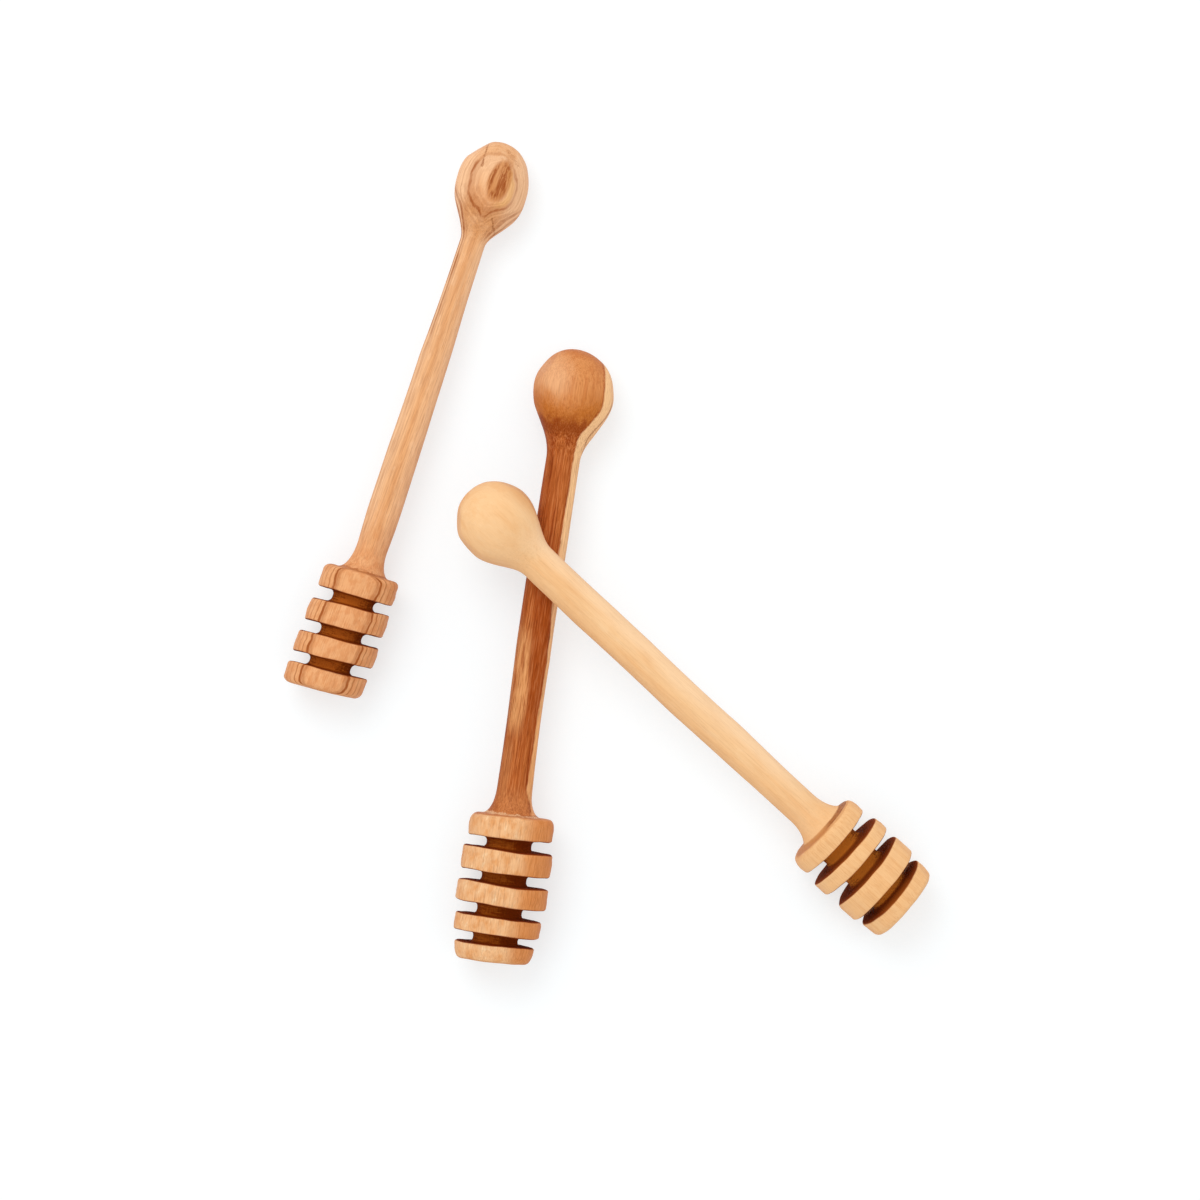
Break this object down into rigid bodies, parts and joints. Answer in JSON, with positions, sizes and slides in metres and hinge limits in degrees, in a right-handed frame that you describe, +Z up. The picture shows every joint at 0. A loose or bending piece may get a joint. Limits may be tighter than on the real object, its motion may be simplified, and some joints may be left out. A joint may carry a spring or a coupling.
{
  "type": "honey dipper",
  "caption": "Hand-carved olive wood honey dippers with ringed heads, slim handles and egg-shaped knobs, lying as a set with one leaning across another.",
  "frame": {"origin": "middle of the set on the table it lies on", "axes": "+Z up from the table, +X to the right and +Y to the back as the set is seen from above"},
  "size_m": [0.1667, 0.2125, 0.0315],
  "materials": {
    "dark_olive_wood": "oiled, satin, with brown heartwood and a pale sapwood strip",
    "pale_olive_wood": "oiled, satin, fine pale grain",
    "striped_olive_wood": "oiled, satin, honey-coloured with dark brown grain lines"
  },
  "bodies": {
    "dark_dipper": {"dark_five_ring_dipper": "dark_olive_wood"},
    "pale_dipper": {"pale_four_ring_dipper": "pale_olive_wood"},
    "swirl_dipper": {"swirl_four_ring_dipper": "striped_olive_wood"}
  },
  "joints": [
    {"name": "pale_dipper_lift", "type": "slide", "parent": "dark_dipper", "child": "pale_dipper", "axis": [0, 0, 1], "range_m": [0, 0.06]},
    {"name": "swirl_dipper_lift", "type": "slide", "parent": "dark_dipper", "child": "swirl_dipper", "axis": [0, 0, 1], "range_m": [0, 0.06]}
  ]
}
